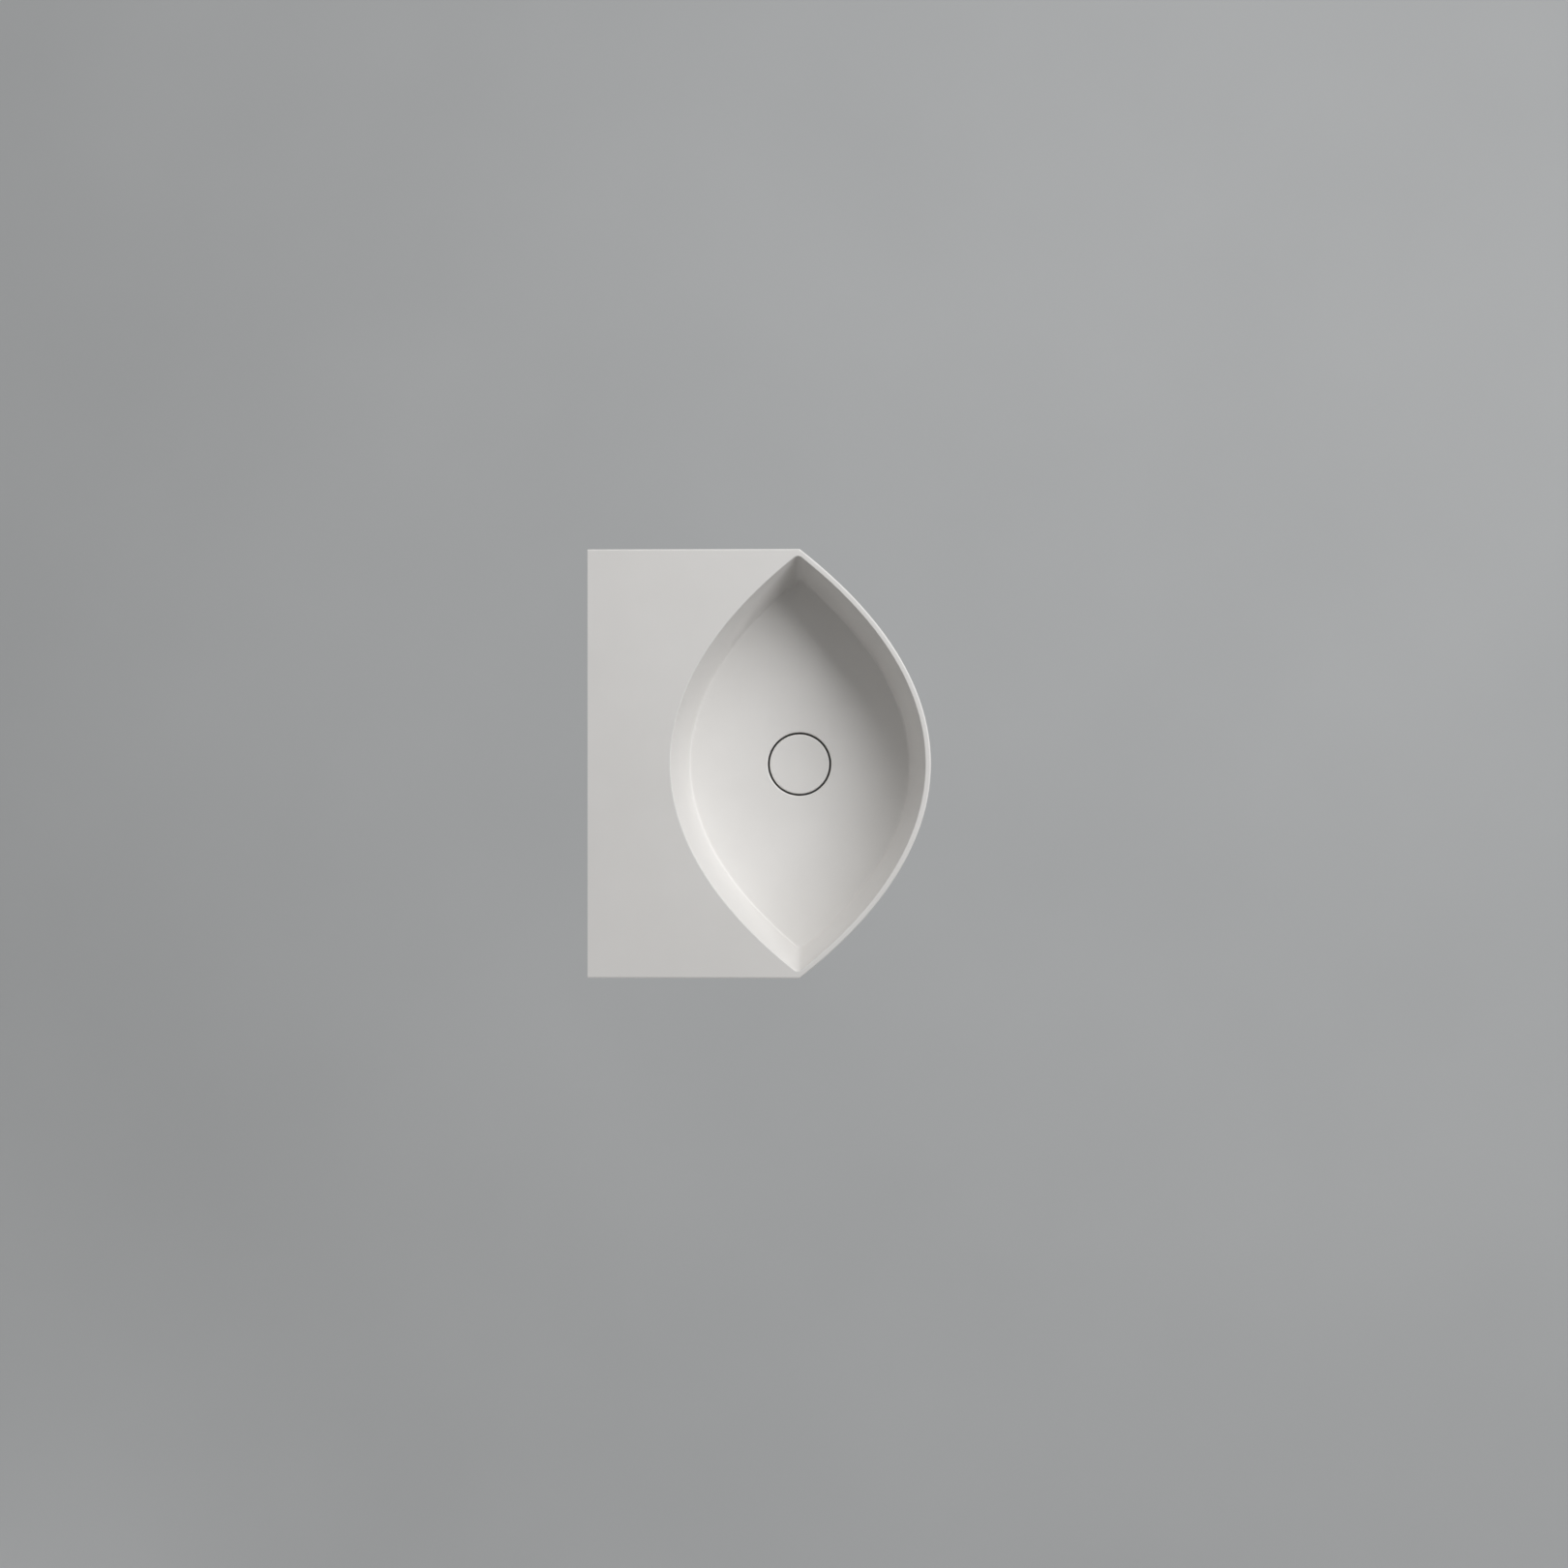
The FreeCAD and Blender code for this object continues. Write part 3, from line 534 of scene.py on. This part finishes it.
@dataclass(frozen=True)
class Finishes:
    """The materials that the sub-assemblies share, each made once."""

    gunmetal: bpy.types.Material
    gunmetal_to_wall: bpy.types.Material
    brass: bpy.types.Material
    steel: bpy.types.Material
    zinc: bpy.types.Material
    rubber: bpy.types.Material
    plastic: bpy.types.Material

    @classmethod
    def mixed(cls, drain: Vector, outlet: Vector) -> "Finishes":
        """Make the materials.

        Args:
            drain: A point on the waste's upright axis.
            outlet: A point on the outlet's axis.

        Returns:
            The materials.
        """
        to_wall = ToolMarkedMetal("gunmetal_to_wall", Metal.GUNMETAL, Axis.TO_WALL, outlet)
        return cls(
            gunmetal=ToolMarkedMetal("gunmetal_upright", Metal.GUNMETAL, Axis.UPRIGHT, drain).material(),
            gunmetal_to_wall=to_wall.material(),
            brass=ToolMarkedMetal("turned_brass", Metal.BRASS, Axis.UPRIGHT, drain).material(),
            steel=ToolMarkedMetal("plain_steel", Metal.STEEL, Axis.UPRIGHT, drain).material(),
            zinc=PlatedSteel().material(),
            rubber=MouldedRubber().material(),
            plastic=NaturalPlastic().material(),
        )


def dress(node: str, material: bpy.types.Material) -> None:
    """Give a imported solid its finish, and report it.

    Args:
        node: The solid's node.
        material: The finish.
    """
    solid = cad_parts[node]
    solid.data.materials.clear()
    solid.data.materials.append(material)
    log.info("%s dressed in %s", node, material.name)


def rounded(outline: Outline, radius: float, steps: int = 4) -> list[Point]:
    """Round the corners of a closed outline.

    Args:
        outline: The outline's corners, in order.
        radius: The rounding, which gives way where a side is too short for it.
        steps: How many short sides take a corner's place.

    Returns:
        The rounded outline.
    """
    points = []
    for index, place in enumerate(outline):
        corner = Vector(place)
        before = Vector(outline[index - 1]) - corner
        after = Vector(outline[(index + 1) % len(outline)]) - corner
        reach = radius / math.tan(before.angle(after) / 2)
        start = corner + before.normalized() * min(reach, before.length * SIDE_SHARE)
        end = corner + after.normalized() * min(reach, after.length * SIDE_SHARE)
        for step in range(steps + 1):
            share = step / steps
            bend = start.lerp(corner, share).lerp(corner.lerp(end, share), share)
            points.append((bend.x, bend.y))
    return points


def link_piece(name: str, shape: bmesh.types.BMesh) -> bpy.types.Object:
    """Make a smooth-shaded piece of a finished shape.

    Args:
        name: The piece's name.
        shape: The shape, which is freed.

    Returns:
        The piece, in the scene.
    """
    bmesh.ops.recalc_face_normals(shape, faces=shape.faces)
    mesh = bpy.data.meshes.new(name)
    shape.to_mesh(mesh)
    shape.free()
    mesh.shade_smooth()
    mesh.set_sharp_from_angle(angle=SHARP_ANGLE)
    piece = bpy.data.objects.new(name, mesh)
    bpy.context.scene.collection.objects.link(piece)
    return piece


def settle(piece: bpy.types.Object, node: str, body: Body, material: bpy.types.Material) -> None:
    """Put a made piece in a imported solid's place, dress it and report it.

    Args:
        piece: The piece.
        node: The solid that it stands for.
        body: The body that it moves with.
        material: The finish.
    """
    piece.data.materials.append(material)
    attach(piece, body.value)
    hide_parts(node)
    log.info("%s made for %s, on %s, in %s", piece.name, node, body.value, material.name)


@dataclass(frozen=True)
class RubberRing:
    """A moulded rubber ring.

    Its section and its rounding are in millimetres. A point of the section is a radius, and a height
    from the ring's low end along its axis.
    """

    node: str
    section: Outline
    body: Body = Body.BASIN
    axis: Axis = Axis.UPRIGHT
    rounding: float = 0.45
    segments: int = 144

    def build(self, rubber: bpy.types.Material) -> None:
        """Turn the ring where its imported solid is.

        Args:
            rubber: The ring's finish.
        """
        low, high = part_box(self.node)
        start = (low + high) / 2
        axis = Vector(self.axis.value)
        start += axis * (low - start).dot(axis)
        turnover = axis.to_track_quat("Z", "Y").to_matrix()
        corners = rounded(self.section, self.rounding)
        shape = bmesh.new()
        rings = []
        for step in range(self.segments):
            turn = 2 * math.pi * step / self.segments
            outwards = Vector((math.cos(turn), math.sin(turn), 0.0))
            spoke = [outwards * radius + Vector((0.0, 0.0, height)) for radius, height in corners]
            rings.append([shape.verts.new(start + turnover @ (point * MM)) for point in spoke])
        for step, ring in enumerate(rings):
            following = rings[(step + 1) % self.segments]
            for index in range(len(corners)):
                shape.faces.new((ring[index - 1], following[index - 1], following[index], ring[index]))
        settle(link_piece(self.node + "_rubber", shape), self.node, self.body, rubber)


@dataclass
class Casting:
    """The casting, with its shelf and bowl, and the cover in the bowl's floor."""

    body_node: str = "basin_body"
    cover_node: str = "drain_cover"
    finish: MattCeramic = MattCeramic()

    def dress(self) -> None:
        """Give the casting and the cover one finish."""
        material = self.finish.material()
        for node in (self.body_node, self.cover_node):
            dress(node, material)


@dataclass
class Waste:
    """The push-open waste under the cover."""

    finishes: Finishes
    rings: tuple[RubberRing, ...] = (
        RubberRing("plug_seal", ((24.4, 2.6), (24.4, 1.3), (25.1, 0.0),
                                 (26.3, 0.0), (27.0, 1.3), (27.0, 2.6)), Body.PLUG),
        RubberRing("flange_gasket", ((22.5, 0.0), (37.75, 0.0), (37.75, 1.5), (22.5, 1.5))),
        RubberRing("cone_gasket", ((20.95, 0.0), (28.0, 0.0), (28.5, 3.0), (28.0, 6.0),
                                   (22.2, 6.0), (21.25, 10.0), (20.95, 10.0))),
    )

    def build(self) -> None:
        """Make the rubber rings of the waste."""
        for ring in self.rings:
            ring.build(self.finishes.rubber)

    def dress(self) -> None:
        """Give each piece of the waste its finish."""
        dress("waste_body", self.finishes.gunmetal)
        for node in ("cover_carrier", "latch_sleeve", "latch_screw", "back_nut"):
            dress(node, self.finishes.brass)
        for node in ("plunger_stem", "latch_spring"):
            dress(node, self.finishes.steel)
        dress("slip_washer", self.finishes.plastic)


@dataclass
class BottleTrap:
    """The bottle trap, from the union nut at the waste to the rosette at the wall."""

    CONE: ClassVar[Outline] = ((16.0, 0.0), (16.3, 0.0), (19.0, 4.0), (19.0, 6.0), (16.0, 6.0))

    finishes: Finishes
    rings: tuple[RubberRing, ...] = (
        RubberRing("inlet_washer", ((14.5, 0.0), (19.75, 0.0), (19.75, 2.0), (14.5, 2.0))),
        RubberRing("head_seal", CONE),
        RubberRing("cup_seal", ((24.3, 0.0), (25.8, 0.0), (25.8, 2.0), (24.3, 2.0)), Body.CUP_SEAL),
        RubberRing("outlet_seal", CONE, axis=Axis.TO_WALL),
        RubberRing("rosette_ring", ((31.4, 0.0), (36.4, 0.0), (36.4, 1.5), (31.4, 1.5)),
                   axis=Axis.TO_WALL),
    )

    def build(self) -> None:
        """Make the rubber rings of the trap."""
        for ring in self.rings:
            ring.build(self.finishes.rubber)

    def dress(self) -> None:
        """Give each piece of the trap its finish."""
        for node in ("inlet_nut", "inlet_tube", "trap_head", "head_nut", "trap_cup"):
            dress(node, self.finishes.gunmetal)
        for node in ("outlet_nut", "outlet_pipe", "wall_rosette"):
            dress(node, self.finishes.gunmetal_to_wall)


@dataclass
class WallBrackets:
    """The two brackets under the shelf, and what holds the casting on them."""

    finishes: Finishes
    pads_node: str = "bracket_pads"
    bracket_place: float = 180.0 * MM
    screw_places: tuple[float, ...] = (42.0 * MM, 96.0 * MM)
    pad_hole: float = 4.5 * MM
    hole_sides: int = 36
    pad_corner: float = 5.0 * MM
    corner_steps: int = 6
    pad_rounding: float = 0.7 * MM
    rounding_steps: int = 3
    weld_reach: float = 0.001 * MM

    def pad_outlines(self, low: Vector, high: Vector) -> list[Outline]:
        """Draw both pads and their screw holes, seen from above.

        Args:
            low: The lowest corner of the pads' box.
            high: Its highest corner.

        Returns:
            The closed outlines.
        """
        half = high.x - self.bracket_place
        turns = [2 * math.pi * step / self.hole_sides for step in range(self.hole_sides)]
        hole = [(math.cos(turn) * self.pad_hole, math.sin(turn) * self.pad_hole) for turn in turns]
        outlines = []
        for middle in (-self.bracket_place, self.bracket_place):
            left, right = middle - half, middle + half
            corners = [(left, low.y), (right, low.y), (right, high.y), (left, high.y)]
            outlines.append(rounded(corners, self.pad_corner, self.corner_steps))
            for reach in self.screw_places:
                outlines.append([(middle + x, y - reach) for x, y in hole])
        return outlines

    def build(self) -> None:
        """Mould the rubber pads on the brackets' arms, with rounded edges and screw holes."""
        low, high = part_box(self.pads_node)
        drawing = bpy.data.curves.new("pad_drawing", "CURVE")
        drawing.dimensions = "2D"
        drawing.fill_mode = "BOTH"
        drawing.extrude = (high.z - low.z) / 2 - self.pad_rounding
        drawing.bevel_depth = self.pad_rounding
        drawing.bevel_resolution = self.rounding_steps
        drawing.offset = -self.pad_rounding
        for outline in self.pad_outlines(low, high):
            spline = drawing.splines.new("POLY")
            spline.points.add(len(outline) - 1)
            for point, (x, y) in zip(spline.points, outline):
                point.co = (x, y, 0.0, 1.0)
            spline.use_cyclic_u = True
        holder = bpy.data.objects.new("pad_drawing", drawing)
        solid = bpy.data.meshes.new_from_object(holder)
        bpy.data.objects.remove(holder)
        bpy.data.curves.remove(drawing)
        shape = bmesh.new()
        shape.from_mesh(solid)
        bpy.data.meshes.remove(solid)
        bmesh.ops.remove_doubles(shape, verts=shape.verts, dist=self.weld_reach)
        bmesh.ops.translate(shape, verts=shape.verts, vec=(0.0, 0.0, (low.z + high.z) / 2))
        pads = link_piece("bracket_pads_rubber", shape)
        settle(pads, self.pads_node, Body.BASIN, self.finishes.rubber)

    def dress(self) -> None:
        """Give each piece of the brackets its finish."""
        for node in ("left_bracket", "right_bracket"):
            dress(node, self.finishes.zinc)
        for node in ("bracket_screws", "bracket_washers"):
            dress(node, self.finishes.steel)
        dress("bracket_inserts", self.finishes.brass)


@dataclass(frozen=True)
class SoftLamp:
    """One rectangular soft light, placed by its turn from the wall's line and its climb above the rim.

    Turn and climb are in degrees, the sizes and the distance in metres, and the power in watts.
    """

    name: str
    turn: float
    climb: float
    width: float
    height: float
    power: float
    distance: float = 3.4

    def hang(self, aim: Vector) -> None:
        """Hang the lamp, facing a point.

        Args:
            aim: The point.
        """
        data = bpy.data.lights.new(self.name, "AREA")
        data.shape = "RECTANGLE"
        data.size, data.size_y = self.width, self.height
        data.energy = self.power
        lamp = bpy.data.objects.new(self.name, data)
        turn, climb = math.radians(self.turn), math.radians(self.climb)
        level = math.cos(climb)
        towards = Vector((math.cos(turn) * level, -math.sin(turn) * level, math.sin(climb)))
        lamp.location = aim + towards * self.distance
        lamp.rotation_euler = towards.to_track_quat("Z", "Y").to_euler()
        lamp.visible_camera = False
        bpy.context.scene.collection.objects.link(lamp)


@dataclass
class Studio:
    """A plain pale floor that fades into the backdrop, a long soft light, a low fill and a soft sky.

    The sky has its plain strength straight up, and gets brighter along its slope, towards the wall and
    one end of it.
    """

    rim_height: float = 1.62
    floor_reach: float = 40.0
    floor_light: Colour = (0.545, 0.557, 0.565)
    floor_dark: Colour = (0.520, 0.532, 0.540)
    floor_roughness: float = 0.8
    floor_gloss: float = 0.2
    cloud_scale: float = 1.6
    cloud_detail: float = 5.0
    fade: tuple[float, float] = (1.8, 4.0)
    sky: Colour = (1.0, 0.99, 0.975)
    sky_strength: float = 0.202
    sky_slope: tuple[float, float, float] = (0.6, 0.45, 0.0)
    slope_ends: tuple[float, float] = (-1.0, 1.0)
    backdrop: Colour = (0.37, 0.378, 0.384)
    aim: tuple[float, float] = (0.0, -0.22)
    lamps: tuple[SoftLamp, ...] = (
        SoftLamp("key_lamp", turn=50.0, climb=41.0, width=6.0, height=2.0, power=137.0),
        SoftLamp("fill_lamp", turn=215.0, climb=-9.0, width=4.0, height=1.2, power=100.0, distance=5.0),
    )

    def build_floor(self, rim: float) -> None:
        """Lay the floor under the basin.

        Args:
            rim: The height of the basin's rim.
        """
        mesh = bpy.data.meshes.new("floor")
        shape = bmesh.new()
        bmesh.ops.create_grid(shape, x_segments=1, y_segments=1, size=self.floor_reach)
        shape.to_mesh(mesh)
        shape.free()
        floor = bpy.data.objects.new("floor", mesh)
        floor.location.z = rim - self.rim_height
        bpy.context.scene.collection.objects.link(floor)
        sheet = SurfaceSheet("plain_floor")
        clouds = sheet.spread(sheet.noise(self.cloud_scale, self.cloud_detail), 0.0, 1.0)
        sheet.feed("Base Color", sheet.blend(clouds, self.floor_dark, self.floor_light))
        sheet.fix(Roughness=self.floor_roughness, Specular_IOR_Level=self.floor_gloss)
        far = sheet.spread(sheet.vector(VectorSum.LENGTH, sheet.place), 0.0, 1.0, self.fade)
        share = sheet.number(NumberSum.PRODUCT, far, sheet.background_rays())
        seen = sheet.nodes.new("ShaderNodeEmission")
        seen.inputs["Color"].default_value = opaque(self.backdrop)
        sheet.show(share, sheet.surface.outputs["BSDF"], seen.outputs["Emission"])
        mesh.materials.append(sheet.material)

    def hang_lamps(self, rim: float) -> None:
        """Hang the lamps round the basin, facing its middle at the rim's height."""
        for lamp in self.lamps:
            lamp.hang(Vector((*self.aim, rim)))

    def build_sky(self) -> None:
        """Set the sky that lights the basin, and the even backdrop that is seen in its place."""
        world = bpy.data.worlds.new("sky")
        world.use_nodes = True
        sheet = NodeSheet(world.node_tree, NodeUse.SKY)
        sky = sheet.nodes["Background"]
        sky.inputs["Color"].default_value = opaque(self.sky)
        slope = sheet.vector(VectorSum.DOT_PRODUCT, sheet.place, self.sky_slope)
        level = sheet.spread(slope, 0.0, 2 * self.sky_strength, self.slope_ends)
        sheet.join(level, sky.inputs["Strength"])
        seen = sheet.nodes.new("ShaderNodeBackground")
        seen.inputs["Color"].default_value = opaque(self.backdrop)
        sheet.show(sheet.background_rays(), sky.outputs["Background"], seen.outputs["Background"])
        bpy.context.scene.world = world


@dataclass
class PhotoCamera:
    """A camera above the basin, a little off straight down, with the wall on the picture's left.

    The picture's sizes are in pixels, its turn in degrees and the sensor in millimetres.
    """

    picture_side: float = 1620.0
    focal_pixels: float = 2664.5
    straight_down_pixel: tuple[float, float] = (883.0, 805.0)
    above_rim: float = 3.0
    place: tuple[float, float] = (-0.018, -0.3113)
    picture_turn: float = -90.0
    sensor: float = 36.0

    def build(self, rim: float) -> None:
        """Hang the camera and make it the scene's.

        Args:
            rim: The height of the basin's rim.
        """
        data = bpy.data.cameras.new("camera")
        data.sensor_width = self.sensor
        data.lens = self.sensor * self.focal_pixels / self.picture_side
        across, down = (pixel - self.picture_side / 2 for pixel in self.straight_down_pixel)
        camera = bpy.data.objects.new("camera", data)
        camera.location = (*self.place, rim + self.above_rim)
        upright = Matrix.Rotation(math.radians(self.picture_turn), 3, "Z")
        to_wall = Matrix.Rotation(math.atan(across / self.focal_pixels), 3, "Y")
        along_wall = Matrix.Rotation(math.atan(down / self.focal_pixels), 3, "X")
        camera.rotation_euler = (upright @ to_wall @ along_wall).to_euler()
        bpy.context.scene.collection.objects.link(camera)
        bpy.context.scene.camera = camera
        bpy.context.scene.view_settings.view_transform = "Standard"


def main() -> None:
    """Build and dress every sub-assembly, then the studio and the camera."""
    logging.basicConfig(level=logging.INFO, format="%(message)s")
    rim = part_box("basin_body")[1].z
    drain = sum(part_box("drain_cover"), Vector()) / 2
    outlet = sum(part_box("outlet_pipe"), Vector()) / 2
    finishes = Finishes.mixed(drain, outlet)

    Casting().dress()
    for assembly in (Waste(finishes), BottleTrap(finishes), WallBrackets(finishes)):
        assembly.build()
        assembly.dress()

    studio = Studio()
    studio.build_floor(rim)
    studio.hang_lamps(rim)
    studio.build_sky()
    PhotoCamera().build(rim)


if __name__ == "__main__":
    main()
